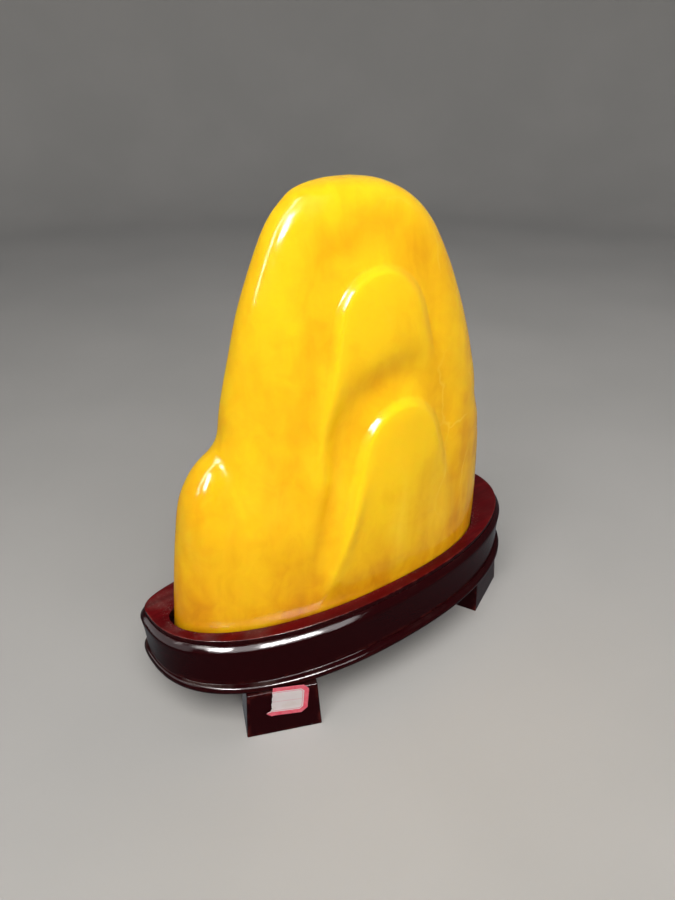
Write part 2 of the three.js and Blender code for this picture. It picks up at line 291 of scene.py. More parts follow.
def makeLacquer(look):
    material, tree, shader = newFinish("redLacquer", {"IOR": 1.5, "Specular IOR Level": look["specular"]})
    axes = axesOf(tree, placeOf(tree))
    grain = useGroup(tree, cloudiness, {"Scale": 26.0, "Stretch": (0.10, 1.0, 1.0)})
    # painted light and shade: the flat top, facing up to the light, shows red, and the sides are painted a
    # shaded near-brown
    shade = maths(tree, "MULTIPLY", ramp(tree, axes["Z"], 0.0915, 0.0970), facingUp(tree, 0.45, 0.85))
    tone = maths(tree, "MULTIPLY", shade, ramp(tree, grain["Broad"], 0.0, 0.9, 0.55, 1.0))
    tone = maths(tree, "MULTIPLY", tone, ramp(tree, grain["Fine"], 0.0, 1.0, 0.7, 1.0))
    colour = blend(tree, tone, look["paintedShadeBrown"], look["red"])
    # rubbed edges: real wear, and painted highlight lines along the arrises
    worn = attributeOf(tree, "worn")
    rubAndGlintBand = useGroup(tree, rubAndEdgeGlint, {"Edge": worn, "Scale": 85.0, "Amount": look["rubAndGlintAmount"]})["Mask"]
    colour = blend(tree, rubAndGlintBand, colour, look["rubbedAndGlint"])
    toLeft = ramp(tree, axes["X"], -0.08, -0.19, 0.10, 1.0)
    # dust on the left of the ring, and crevice lint that also paints the groove's reflection line
    dustAndGlint = useGroup(tree, dustFilmAndGlint, {
        "Scale": 34.0,
        "Amount": maths(tree, "MULTIPLY", toLeft, look["dustAmount"]),
        "CreviceLintAndGlint": maths(tree, "MULTIPLY", attributeOf(tree, "creviceLintAndGlint"), look["creviceLintAndGlintAmount"]),
    })["Mask"]
    colour = blend(tree, dustAndGlint, colour, look["dustAndGlint"])
    tree.links.new(colour, shader.inputs["Base Color"])
    rough = ramp(tree, grain["Fine"], 0.0, 1.0, *look["roughness"])
    rough = maths(tree, "MULTIPLY_ADD", dustAndGlint, look["dustRoughness"], rough)
    tree.links.new(rough, shader.inputs["Roughness"])
    addBump(tree, shader, grain["Fine"], 0.12, 0.0006)
    return material


paperFinish = {
    "paper": (0.50, 0.45, 0.455, 1.0),
    "soiled": (0.46, 0.38, 0.34, 1.0),
    "print": (0.56, 0.030, 0.07, 1.0),
    "band": 4.0,          # widths of the printed border, in millimetres in from the cut edge
    "gap": 4.8,
    "line": 5.4,
    "softness": 0.12,
    "lineStrength": 0.7,
}


def makePaper(look):
    material, tree, shader = newFinish("gummedPaper", {"Roughness": 0.72, "Specular IOR Level": 0.1})
    place = placeOf(tree)
    inward = attributeOf(tree, "fromEdge")
    worn = maths(tree, "MULTIPLY_ADD", noise(tree, place, 900.0, 2.0), 0.35, -0.17)
    inward = maths(tree, "ADD", inward, worn)
    pastBand, pastGap, pastLine = [
        ramp(tree, inward, look[name] - look["softness"], look[name] + look["softness"])
        for name in ("band", "gap", "line")]
    band = maths(tree, "SUBTRACT", 1.0, pastBand)
    line = maths(tree, "MAXIMUM", maths(tree, "SUBTRACT", pastGap, pastLine), attributeOf(tree, "dots"))
    printed = maths(tree, "MAXIMUM", band, maths(tree, "MULTIPLY", line, look["lineStrength"]))
    faded = ramp(tree, noise(tree, place, 260.0, 4.0, 0.6), 0.25, 0.75, 0.85, 1.0)
    soil = ramp(tree, noise(tree, place, 120.0, 5.0, 0.65), 0.45, 0.75, 0.0, 0.55)
    ground = blend(tree, soil, look["paper"], look["soiled"])
    colour = blend(tree, maths(tree, "MULTIPLY", printed, faded), ground, look["print"])
    tree.links.new(colour, shader.inputs["Base Color"])
    addBump(tree, shader, noise(tree, place, 1500.0, 2.0), 0.15, 0.0002)
    return material


floorFinish = {
    "darker": (0.385, 0.377, 0.365, 1.0),
    "paler": (0.41, 0.40, 0.388, 1.0),
    "roughness": (0.62, 0.72),
}


def makeFloorFinish(look):
    material, tree, shader = newFinish("paleFloor", {"Specular IOR Level": 0.25})
    mottled = ramp(tree, noise(tree, placeOf(tree), 3.0, 3.0), 0.3, 0.7)
    tree.links.new(blend(tree, mottled, look["darker"], look["paler"]), shader.inputs["Base Color"])
    tree.links.new(ramp(tree, mottled, 0.0, 1.0, *look["roughness"]), shader.inputs["Roughness"])
    return material


polishedStone = makeStoneFinish(stoneFinish)
redLacquer = makeLacquer(lacquerFinish)
gummedPaper = makePaper(paperFinish)
paleFloor = makeFloorFinish(floorFinish)
print("finishes made")


# mesh helpers

def addObject(name, mesh, material):
    if material:
        mesh.materials.clear()
        mesh.materials.append(material)
    piece = bpy.data.objects.new(name, mesh)
    bpy.context.scene.collection.objects.link(piece)
    return piece


def meshFrom(name, points, faces, edges=()):
    mesh = bpy.data.meshes.new(name)
    mesh.from_pydata([tuple(p) for p in points], list(edges), faces)
    mesh.update()
    return mesh


def setAttribute(mesh, name, values):
    values = np.asarray(values, dtype=np.float32)
    vector = values.ndim > 1
    layer = mesh.attributes.new(name, "FLOAT_VECTOR" if vector else "FLOAT", "POINT")
    layer.data.foreach_set("vector" if vector else "value", values.ravel())


def ringFaces(rows, count):
    faces = []
    for i in range(rows - 1):
        low = i * count
        high = low + count
        for j in range(count):
            k = (j + 1) % count
            faces.append((low + j, low + k, high + k, high + j))
    return faces


def smoothOutwards(mesh, sharpAngle):
    work = bmesh.new()
    work.from_mesh(mesh)
    bmesh.ops.recalc_face_normals(work, faces=work.faces)
    work.to_mesh(mesh)
    work.free()
    mesh.shade_smooth()
    mesh.set_sharp_from_angle(angle=math.radians(sharpAngle))


def bakedMesh(host):
    bpy.context.view_layer.update()
    evaluated = host.evaluated_get(bpy.context.evaluated_depsgraph_get())
    return bpy.data.meshes.new_from_object(evaluated)


def bakeNodes(host, tree, values):
    modifier = host.modifiers.new("making", "NODES")
    modifier.node_group = tree
    sockets = {item.name: item.identifier for item in tree.interface.items_tree if item.in_out == "INPUT"}
    for label, value in values.items():
        modifier[sockets[label]] = value
    baked = bakedMesh(host)
    host.modifiers.remove(modifier)
    return baked


def dropObject(helper):
    mesh = helper.data
    bpy.data.objects.remove(helper)
    bpy.data.meshes.remove(mesh)


# rounded sections, shared by the stone and the stand

def bend(value, roundness):
    return np.sign(value) * np.abs(value) ** (2.0 / roundness)


def crown(place, roundness):
    return np.maximum(0.0, 1.0 - np.abs(place) ** roundness) ** (1.0 / roundness)


def smooth(value, low, high):
    share = np.clip((value - low) / (high - low), 0.0, 1.0)
    return share * share * (3.0 - 2.0 * share)


def mixed(first, second, share):
    return first + (second - first) * share


def anglesRound(backSteps, frontSteps):
    back = np.arange(backSteps) / backSteps
    front = 1.0 + np.arange(frontSteps) / frontSteps
    return np.pi * np.concatenate([back, front])


# stone: the layered mountain, in millimetres

stoneShape = {
    "base": 86.3, "top": 432.0,
    "leftEdge": [
        (-180, 86.3), (-175.5, 130), (-169.8, 172), (-164, 203), (-156, 220), (-146.5, 231),
        (-135, 239), (-127.3, 250), (-123, 275), (-114, 312), (-104, 350), (-84, 399),
        (-68, 420), (-55, 428), (-35, 431.7), (-13, 432),
    ],
    "rightEdge": [
        (138, 86.3), (138.5, 125), (136.5, 165), (134, 192), (131.5, 207), (130, 217),
        (127.5, 226), (123.3, 239), (119, 262), (108.2, 298), (93.5, 334), (77, 367),
        (59, 395), (37.5, 415), (11, 428), (-13, 432),
    ],
    "tipY": 11.3, "frontDepth": 66.0, "backDepth": 30.0, "lean": -13.0, "twist": -6.0,
    "backTaper": 2.8, "setBack": 0.57, "setBackPower": 2.6, "rimPower": 60.0, "rimRoundness": 2.2,
    "leftRoundness": 2.0, "rightRoundness": 2.5, "backRoundness": 2.4, "leastDepth": 0.01,
    "lobe": {
        "foot": 120.0, "full": 190.0, "top": 254.0, "innerX": -127.3, "join": (232.0, 268.0),
        "outerHalfWidth": 17.0, "innerHalfWidth": 60.0, "depth": 27.0, "roundness": 2.0,
        "merge": 4.0, "part": (165.0, 240.0),
    },
    "peaks": [
        {
            "x": -16, "top": 373, "headHalfWidth": 30, "headHeight": 40, "flare": 0.21, "foot": 110,
            "rise": 5.4, "fade": (25, 150), "hollow": 4.5, "hollowTo": 190, "rib": 3.5, "ribTo": 215,
        },
        {
            "x": -1, "top": 270, "headHalfWidth": 28, "headHeight": 40, "flare": 0.3, "foot": 88,
            "rise": 6.6, "fade": (30, 235), "hollow": 6, "hollowTo": 215, "rib": 4, "ribTo": 185,
        },
    ],
    "cut": {
        "headRoundness": 2.2, "archSteps": 40, "corner": 0.15, "brow": 2.0,
        "outsideLeft": 2.2, "outsideRight": 9.0, "inside": 2.8, "sideReach": 50.0,
        "rightRise": 0.6, "rightFade": (25.0, 105.0),
        "hollowAbove": (20.0, 17.0), "hollowBeside": (11.0, 9.0), "hollowDrop": 60.0, "hollowRight": 0.4,
        "ribInset": 3.0, "ribWidth": 9.0, "ribFrom": 20.0,
    },
    "reliefFoot": (98.0, 128.0), "reliefEdge": (0.05, 0.5),
    "waves": 0.25, "wavesFrom": (97.0, 125.0), "wavesTo": (424.0, 431.0),
    "rings": 230, "crowding": 1.35, "frontSteps": 340, "backSteps": 80, "sharpAngle": 60.0,
}
noGap = {"length": 0.0, "shift": 0.0, "front": 0.0, "back": 0.0}


def edgeAt(corners, share):
    points = np.array(corners, dtype=float)
    padded = np.vstack([2 * points[0] - points[1], points, 2 * points[-1] - points[-2]])
    place = np.clip(share, 0.0, 1.0) * (len(points) - 1)
    index = np.minimum(place.astype(int), len(points) - 2)
    t = (place - index)[:, None]
    a, b, c, d = [padded[index + k] for k in range(4)]
    return b + 0.5 * t * (c - a + t * (2 * a - 5 * b + 4 * c - d + t * (3 * b - a - 3 * c + d)))


def archHalfWidth(peak, drop):
    share = 1.0 - np.clip(drop / peak["headHeight"], 0.0, 1.0)
    head = crown(share, stoneShape["cut"]["headRoundness"])
    return peak["headHalfWidth"] * head + peak["flare"] * drop


def archLine(peak):
    share = np.linspace(0.0, 1.0, stoneShape["cut"]["archSteps"] + 1)
    drop = (peak["top"] - peak["foot"]) * share ** 2
    halfWidth = archHalfWidth(peak, drop)
    right = np.column_stack([peak["x"] + halfWidth, peak["top"] - drop])
    left = np.column_stack([peak["x"] - halfWidth, peak["top"] - drop])
    return np.vstack([left[:0:-1], right])


def distanceToLine(points, line):
    nearest = np.full(len(points), np.inf)
    for start, stop in zip(line[:-1], line[1:]):
        along = stop - start
        share = np.clip((points - start) @ along / (along @ along), 0.0, 1.0)
        gap = np.linalg.norm(points - start - share[:, None] * along, axis=1)
        nearest = np.minimum(nearest, gap)
    return nearest


def ledge(value, low, high):
    corner = stoneShape["cut"]["corner"]
    share = np.clip((value - low) / (high - low), 0.0, 1.0)
    eased = share ** 2 / (share + corner) * (1.0 + corner)
    return 1.0 - (1.0 - eased) ** stoneShape["cut"]["brow"]


def carvedRelief(x, z):
    cut = stoneShape["cut"]
    points = np.column_stack([x, z])
    height = np.zeros(len(x))
    for peak in stoneShape["peaks"]:
        drop = peak["top"] - z
        within = (drop > 0) & (np.abs(x - peak["x"]) < archHalfWidth(peak, np.maximum(drop, 0.0)))
        inside = distanceToLine(points, archLine(peak)) * np.where(within, 1.0, -1.0)
        toRight = smooth(x - peak["x"], 0.0, cut["sideReach"])
        slope = mixed(cut["outsideLeft"], cut["outsideRight"], toRight)
        fade = 1.0 - smooth(drop, *peak["fade"])
        rightRise = cut["rightRise"] * (1.0 - smooth(drop, *cut["rightFade"]))
        rise = peak["rise"] * fade * mixed(1.0, rightRise, toRight)
        height += rise * ledge(inside, -slope, cut["inside"])
        lowered = smooth(drop, 0.0, cut["hollowDrop"])
        hollowDistance, hollowWidth = [
            mixed(above, beside, lowered)
            for above, beside in zip(cut["hollowAbove"], cut["hollowBeside"])]
        beyond = (inside + hollowDistance) / hollowWidth
        hollowFade = 1.0 - smooth(drop, 0.0, peak["hollowTo"])
        hollowShare = mixed(1.0, cut["hollowRight"], toRight) * hollowFade
        height -= peak["hollow"] * hollowShare * np.exp(-beyond ** 2)
        aside = (inside - cut["ribInset"]) / cut["ribWidth"]
        half = peak["ribTo"] / 2
        ribShare = smooth(drop, cut["ribFrom"], half) * (1.0 - smooth(drop, half, peak["ribTo"]))
        height += peak["rib"] * (1.0 - toRight) * ribShare * np.exp(-aside ** 2)
    return height * smooth(z, *stoneShape["reliefFoot"])


def frontSwell(climb):
    s = stoneShape
    face = 1.0 - s["setBack"] * climb ** s["setBackPower"]
    return face * (1.0 - climb ** s["rimPower"]) ** (1.0 / s["rimRoundness"])


def frontShare(x, left, right, depth):
    s = stoneShape
    lobe = s["lobe"]
    leftX = left[..., 0]
    leftZ = left[..., 1]
    rightX = right[..., 0]

    # the body's own left edge runs behind the lobe
    risen = (leftZ - s["base"]) / (lobe["top"] - s["base"])
    leaning = mixed(s["leftEdge"][0][0], lobe["innerX"], risen)
    innerEdge = mixed(leaning, leftX, smooth(leftZ, *lobe["join"]))
    bodyLeft = mixed(leftX, innerEdge, smooth(leftZ, *lobe["part"]))
    bodyMiddle = (bodyLeft + rightX) / 2
    place = (x - bodyMiddle) / np.maximum(rightX - bodyMiddle, 1e-9)
    body = np.where(place > 0, crown(place, s["rightRoundness"]), crown(place, s["leftRoundness"]))

    climbed = np.clip((leftZ - lobe["full"]) / (lobe["top"] - lobe["full"]), 0.0, 1.0)
    lobeDepth = lobe["depth"] * smooth(leftZ, lobe["foot"], lobe["full"]) * (1.0 - climbed ** 2)
    fromRidge = x - leftX - lobe["outerHalfWidth"]
    halfWidth = np.where(fromRidge < 0, lobe["outerHalfWidth"], lobe["innerHalfWidth"])
    beside = lobeDepth / depth * crown(fromRidge / halfWidth, lobe["roundness"])
    return (body ** lobe["merge"] + beside ** lobe["merge"]) ** (1.0 / lobe["merge"])


def stonePoints(share, angles, gap):
    s = stoneShape
    left = edgeAt(s["leftEdge"], share)[:, None, :]
    right = edgeAt(s["rightEdge"], share)[:, None, :]
    middle = (left + right) / 2
    half = (right - left) / 2
    climb = np.clip((middle[..., 1] - s["base"]) / (s["top"] - s["base"]), 0.0, 1.0)
    cosine = np.cos(angles)[None, :]
    sine = np.sin(angles)[None, :]
    atFront = sine < 0
    frontRoundness = np.where(cosine > 0, s["rightRoundness"], s["leftRoundness"])
    across = bend(cosine, np.where(atFront, frontRoundness, s["backRoundness"]))
    frontDepth = np.maximum(s["frontDepth"] * frontSwell(climb), s["leastDepth"])
    frontX = middle[..., 0] + half[..., 0] * across
    facing = np.where(atFront, frontShare(frontX, left, right, frontDepth), 0.0)
    behind = np.where(atFront, 0.0, bend(sine, s["backRoundness"]))
    backDepth = s["backDepth"] * np.sqrt(1.0 - climb ** s["backTaper"])
    depth = behind * (backDepth + gap["back"]) - facing * (frontDepth + gap["front"])
    baseLength = s["rightEdge"][0][0] - s["leftEdge"][0][0]
    twist = s["twist"] * half[..., 0] / baseLength * 2
    x = middle[..., 0] + gap["shift"] + (half[..., 0] + gap["length"]) * across
    z = middle[..., 1] + half[..., 1] * across
    y = s["tipY"] + s["lean"] * climb ** 2 + depth + twist * across
    return x, y, z, facing


def sharesAtHeights(heights):
    shares = np.linspace(0.0, 1.0, 4001)
    left, right = [edgeAt(stoneShape[name], shares) for name in ("leftEdge", "rightEdge")]
    middle = (left + right)[:, 1] / 2
    return np.interp(heights, np.maximum.accumulate(middle), shares)


def handWaves(x, z):
    slow = np.sin(x / 17.0 + 1.3 * np.sin(z / 29.0)) * np.sin(z / 21.0 + 0.8)
    quick = np.sin(x / 8.3 + z / 11.0) * np.sin(z / 9.1 - x / 14.0 + 2.0)
    small = np.sin(x / 3.7 + z / 4.6) * np.sin(z / 3.9 - x / 5.3 + 1.0)
    return slow + 0.35 * quick + 0.3 * small


def makeStone():
    s = stoneShape
    climb = 1.0 - (1.0 - np.arange(s["rings"]) / s["rings"]) ** s["crowding"]
    shares = sharesAtHeights(s["base"] + climb * (s["top"] - s["base"]))
    shares[0] = 0.0
    angles = anglesRound(s["backSteps"], s["frontSteps"])
    x, y, z, facing = stonePoints(shares, angles, noGap)
    weight = smooth(facing, *s["reliefEdge"])
    carving = np.zeros_like(x)
    onFront = weight > 0
    carving[onFront] = weight[onFront] * carvedRelief(x[onFront], z[onFront])
    y = y - carving
    clearOfEnds = smooth(z, *s["wavesFrom"]) * (1.0 - smooth(z, *s["wavesTo"]))
    y = y - s["waves"] * weight * clearOfEnds * handWaves(x, z)
    count = len(angles)
    points = np.stack([x, y, z], axis=-1).reshape(-1, 3)
    sole = (0.0, s["tipY"], s["base"])
    summit = (s["leftEdge"][-1][0], s["tipY"] + s["lean"], s["top"])
    points = np.vstack([points, sole, summit]) * mm
    faces = ringFaces(s["rings"], count)
    lowest = s["rings"] * count
    lastRing = lowest - count
    for j in range(count):
        k = (j + 1) % count
        faces.append((lowest, k, j))
        faces.append((lowest + 1, lastRing + j, lastRing + k))
    mesh = meshFrom("mountainStone", points, faces)
    # the relief depth goes to the finish too, for painted shade in the hollows and painted light on the
    # peaks
    setAttribute(mesh, "carving", np.append(carving.ravel(), [0.0, 0.0]))
    smoothOutwards(mesh, s["sharpAngle"])
    stone = addObject("mountainStone", mesh, polishedStone)
    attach(stone, "root")
    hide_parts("stone")
    return stone


mountainStone = makeStone()
print("stone made:", len(mountainStone.data.polygons), "faces")


# stand: one moulding profile swept round the plan, in millimetres

standShape = {
    "tipY": 31.1, "halfLength": 195.5, "frontDepth": 98.5, "backDepth": 36.4,
    "frontRoundness": 2.2, "backSquareness": 4.0,
    "bottom": 45.3, "ringTop": 97.0, "recessFloor": 86.0,
    "recessGap": {"length": 2.4, "shift": -1.2, "front": 1.0, "back": 2.0},
    "nosing": {
        "endReach": 2.4, "sideReach": 5.2, "middle": 48.9, "rise": 4.1,
        "roundness": 2.3, "lowAngle": -66.0, "steps": 18,
    },
    "quirk": {"height": 1.2, "deep": 0.35, "edge": 0.3},
    "wall": {"endBottom": 1.5, "sideBottom": 5.5, "hollow": 0.7, "steps": 8},
    "shoulder": {"endReach": 3.8, "sideReach": 4.5, "rise": 4.8, "roundness": 1.2, "steps": 16},
    "lip": {
        "out": 0.5, "step": 4.4, "softness": 0.6, "turns": (30.0, 60.0, 90.0),
        "groove": 0.5, "grooveOut": 0.1,
    },
    "ring": {"inset": 2.0, "inward": (0.15, 0.5, 0.8, 0.95), "softness": 0.5},
    "frontSteps": 190, "backSteps": 120, "weld": 0.02, "sharpAngle": 38.0,
}


def planEdge(angles):
    s = standShape
    atFront = np.sin(angles) < 0
    roundness = np.where(atFront, s["frontRoundness"], s["backSquareness"])
    depth = np.where(atFront, s["frontDepth"], s["backDepth"])
    x = s["halfLength"] * bend(np.cos(angles), roundness)
    return np.column_stack([x, s["tipY"] + depth * bend(np.sin(angles), roundness), np.zeros(len(angles))])


def planNormal(angles):
    nudge = 1e-3
    along = planEdge(angles + nudge) - planEdge(angles - nudge)
    along /= np.linalg.norm(along, axis=1)[:, None]
    return np.column_stack([along[:, 1], -along[:, 0], along[:, 2]])


def mouldingRows():
    s = standShape
    nosing, quirk, wall, shoulder, lip, ring = [
        s[name] for name in ("nosing", "quirk", "wall", "shoulder", "lip", "ring")]
    ringTop = s["ringTop"]
    wallFoot = nosing["middle"] + nosing["rise"]
    lipFoot = ringTop - lip["step"]
    shoulderFoot = lipFoot - shoulder["rise"]
    rows = []

    def row(endOut, sideOut, level, inward=0.0, toMiddle=0.0, worn=0.0, creviceLintAndGlint=0.0):
        rows.append((endOut, sideOut, level, inward, toMiddle, worn, creviceLintAndGlint))

    def bendAt(angle, roundness):
        return float(bend(math.cos(angle), roundness)), float(bend(math.sin(angle), roundness))

    # underside and nosing
    row(0.0, 0.0, s["bottom"], toMiddle=1.0)
    low = math.radians(nosing["lowAngle"])
    fall = (nosing["middle"] - s["bottom"]) / -bendAt(low, nosing["roundness"])[1]
    for i in range(nosing["steps"] + 1):
        angle = mixed(low, math.pi / 2, i / nosing["steps"])
        out, up = bendAt(angle, nosing["roundness"])
        # worn along the nosing's crest also paints a highlight line there
        row(wall["endBottom"] + nosing["endReach"] * out, wall["sideBottom"] + nosing["sideReach"] * out,
            nosing["middle"] + (fall if up < 0 else nosing["rise"]) * up, worn=max(0.0, out - 0.75) * 1.2)

    # groove above the nosing, wall and shoulder
    endQuirk = wall["endBottom"] - quirk["deep"]
    sideQuirk = wall["sideBottom"] - quirk["deep"]
    # lint in this groove also paints a thin reflection line along it
    row(endQuirk, sideQuirk, wallFoot + quirk["edge"], creviceLintAndGlint=0.1)
    row(endQuirk, sideQuirk, wallFoot + quirk["height"] - quirk["edge"])
    for i in range(wall["steps"] + 1):
        share = i / wall["steps"]
        hollow = wall["hollow"] * math.sin(math.pi * share)
        row(mixed(wall["endBottom"], lip["out"] + shoulder["endReach"], share) - hollow,
            mixed(wall["sideBottom"], lip["out"] + shoulder["sideReach"], share) - hollow,
            mixed(wallFoot + quirk["height"], shoulderFoot, share), worn=0.7 if i == 0 else 0.0)
    for i in range(1, shoulder["steps"] + 1):
        out, up = bendAt(math.pi / 2 * i / shoulder["steps"], shoulder["roundness"])
        row(lip["out"] + shoulder["endReach"] * out, lip["out"] + shoulder["sideReach"] * out,
            shoulderFoot + shoulder["rise"] * up, worn=0.7 * max(0.0, out - 0.6))

    # lip
    row(lip["grooveOut"], lip["grooveOut"], lipFoot - lip["groove"], creviceLintAndGlint=0.25)
    row(0.0, 0.0, lipFoot, creviceLintAndGlint=0.1)
    # worn on the lip's edge also paints its thin highlight line
    row(0.0, 0.0, ringTop - lip["softness"], worn=0.6)
    for turn in lip["turns"]:
        angle = math.radians(turn)
        back = -lip["softness"] * (1 - math.cos(angle))
        row(back, back, ringTop - lip["softness"] * (1 - math.sin(angle)), worn=1.0)

    # flat of the ring, then down into the recess
    inner = -ring["inset"]
    row(inner, inner, ringTop)
    for inward in ring["inward"]:
        row(inner, inner, ringTop, inward=inward, creviceLintAndGlint=max(0.0, inward - 0.6))
    row(inner, inner, ringTop - ring["softness"] * 0.3, inward=1.0, worn=0.4, creviceLintAndGlint=0.5)
    row(inner, inner, ringTop - ring["softness"], inward=1.0, creviceLintAndGlint=0.3)
    row(inner, inner, s["recessFloor"], inward=1.0)
    row(0.0, 0.0, s["recessFloor"], toMiddle=1.0)
    return np.array(rows)


def named(tree, name, kind="FLOAT"):
    node = put(tree, "GeometryNodeInputNamedAttribute", {"Name": name}, data_type=kind)
    return node.outputs["Attribute"]


def shapeStep(tree, kind, inputs):
    return put(tree, "GeometryNode" + kind, inputs).outputs[0]


def closeTree(tree, shape, material, output):
    whole = shapeStep(tree, "RealizeInstances", {"Geometry": shape})
    finished = shapeStep(tree, "SetMaterial", {"Geometry": whole, "Material": material})
    tree.links.new(finished, output)


def makeSweepTree():
    tree, given, result = newGroup(
        "mouldingSweep", "GeometryNodeTree",
        {
            "Plan": "NodeSocketGeometry", "Profile": "NodeSocketObject", "Middle": "NodeSocketVector",
            "Weld": number, "Lacquer": "NodeSocketMaterial",
        },
        {"Board": "NodeSocketGeometry"})

    def between(share, first, second):
        values = {0: share, 4: first, 5: second}
        return put(tree, "ShaderNodeMix", values, data_type="VECTOR").outputs[1]

    profileMesh = put(tree, "GeometryNodeObjectInfo", {"Object": given["Profile"]}).outputs["Geometry"]
    rail = shapeStep(tree, "MeshToCurve", {"Mesh": given["Plan"]})
    profile = shapeStep(tree, "MeshToCurve", {"Mesh": profileMesh})
    swept = shapeStep(tree, "CurveToMesh", {"Curve": rail, "Profile Curve": profile})

    # each row stands out of the plan's edge by its own outset, at the ends and at the sides
    normal = named(tree, "edgeNormal", "FLOAT_VECTOR")
    square = axesOf(tree, vectorMaths(tree, "MULTIPLY", normal, normal))
    outset = maths(tree, "ADD",
                   maths(tree, "MULTIPLY", named(tree, "endOut"), square["X"]),
                   maths(tree, "MULTIPLY", named(tree, "sideOut"), square["Y"]))
    pushed = vectorMaths(tree, "SCALE", normal, outset)
    place = vectorMaths(tree, "ADD", named(tree, "edgePlace", "FLOAT_VECTOR"), pushed)
    place = between(named(tree, "inward"), place, named(tree, "recessPlace", "FLOAT_VECTOR"))
    place = between(named(tree, "toMiddle"), place, given["Middle"])
    lifted = put(tree, "ShaderNodeCombineXYZ", {"Z": named(tree, "level")}).outputs[0]
    place = vectorMaths(tree, "ADD", place, lifted)
    moved = shapeStep(tree, "SetPosition", {"Geometry": swept, "Position": place})
    welded = shapeStep(tree, "MergeByDistance", {"Geometry": moved, "Distance": given["Weld"]})
    closeTree(tree, welded, given["Lacquer"], result["Board"])
    return tree


def makeBoard():
    s = standShape
    angles = anglesRound(s["backSteps"], s["frontSteps"])
    count = len(angles)
    edge = planEdge(angles) * mm
    recessX, recessY, _, _ = stonePoints(np.array([0.0]), angles, s["recessGap"])
    recess = np.column_stack([recessX[0], recessY[0], np.zeros(count)]) * mm
    plan = meshFrom("standPlan", edge, [], [(i, (i + 1) % count) for i in range(count)])
    setAttribute(plan, "edgePlace", edge)
    setAttribute(plan, "edgeNormal", planNormal(angles))
    setAttribute(plan, "recessPlace", recess)
    rows = mouldingRows()
    spread = np.column_stack([np.arange(len(rows)), np.zeros(len(rows)), np.zeros(len(rows))]) * mm
    profile = meshFrom("standProfile", spread, [], [(i, i + 1) for i in range(len(rows) - 1)])
    for column, name in enumerate(("endOut", "sideOut", "level")):
        setAttribute(profile, name, rows[:, column] * mm)
    for column, name in enumerate(("inward", "toMiddle", "worn", "creviceLintAndGlint")):
        setAttribute(profile, name, rows[:, column + 3])
    profileObject = addObject("standProfile", profile, None)
    planObject = addObject("standPlan", plan, None)
    mesh = bakeNodes(planObject, makeSweepTree(), {
        "Profile": profileObject, "Middle": (0.0, s["tipY"] * mm * 0.5, 0.0),
        "Weld": s["weld"] * mm, "Lacquer": redLacquer,
    })
    dropObject(planObject)
    dropObject(profileObject)
    mesh.name = "standBoard"
    smoothOutwards(mesh, s["sharpAngle"])
    board = addObject("standBoard", mesh, redLacquer)
    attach(board, "root")
    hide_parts("stand_board")
    return board


standBoard = makeBoard()
print("board made:", len(standBoard.data.polygons), "faces")


# block feet, in millimetres

feetShape = {
    "width": 64.8, "taper": 2.6, "batter": 3.2, "depth": 36.0, "height": 45.0,
    "bevel": 1.3, "bevelSteps": 3, "bevelProfile": 0.6, "rubAndGlintBand": 3.0, "rubAndGlintShare": 0.75,
    "places": {
        # degrees round the plan, outset from the ring's edge, degrees that the face is turned
        "foot_front_left": (233.2, 13.6, -23.7), "foot_front_right": (314.5, 4.0, 24.0),
        "foot_back_left": (115.0, 10.0, 180.0), "foot_back_right": (65.0, 10.0, 180.0),
    },
}


def footPlaces():
    angles, outsets, turns = np.array(list(feetShape["places"].values())).T
    angles = np.radians(angles)
    places = planEdge(angles) + planNormal(angles) * outsets[:, None]
    return places * mm, np.radians(turns)


def makeBlockMesh():
    s = feetShape
    work = bmesh.new()
    bmesh.ops.create_cube(work, size=1.0)
    size = Matrix.Diagonal((s["width"], s["depth"], s["height"], 1.0))
    middle = Matrix.Translation((0.0, s["depth"] / 2, s["height"] / 2))
    bmesh.ops.transform(work, matrix=middle @ size, verts=work.verts)
    bmesh.ops.bevel(work, geom=list(work.edges), offset=s["bevel"], segments=s["bevelSteps"],
                    profile=s["bevelProfile"], affect="EDGES")
    leastArea = 400.0           # the block's six faces are larger, the bevels' faces smaller
    wide = [face for face in work.faces if face.calc_area() > leastArea]
    bmesh.ops.inset_individual(work, faces=wide, thickness=s["rubAndGlintBand"], use_even_offset=True)
    # worn on the bevels: rubbed lacquer and a painted highlight along the block's edges
    worn = work.verts.layers.float.new("worn")
    inner = {vert for face in wide for vert in face.verts}
    for vert in work.verts:
        vert[worn] = 0.0 if vert in inner else s["rubAndGlintShare"]
        climb = vert.co.z / s["height"]
        vert.co.x *= 1.0 - s["taper"] / (s["width"] / 2) * climb
        vert.co.y += s["batter"] * climb * (1.0 - vert.co.y / s["depth"])
        vert.co *= mm
    mesh = bpy.data.meshes.new("footBlock")
    work.to_mesh(mesh)
    work.free()
    mesh.shade_smooth()
    return mesh


def makeFeetTree():
    tree, given, result = newGroup(
        "footSetting", "GeometryNodeTree",
        {"Places": "NodeSocketGeometry", "Block": "NodeSocketObject", "Lacquer": "NodeSocketMaterial"},
        {"Feet": "NodeSocketGeometry"})
    rotation = put(tree, "ShaderNodeCombineXYZ", {"Z": named(tree, "turn")}).outputs[0]
    block = put(tree, "GeometryNodeObjectInfo", {"Object": given["Block"]}).outputs["Geometry"]
    points = shapeStep(tree, "MeshToPoints", {"Mesh": given["Places"]})
    placed = shapeStep(tree, "InstanceOnPoints", {"Points": points, "Instance": block, "Rotation": rotation})
    closeTree(tree, placed, given["Lacquer"], result["Feet"])
    return tree


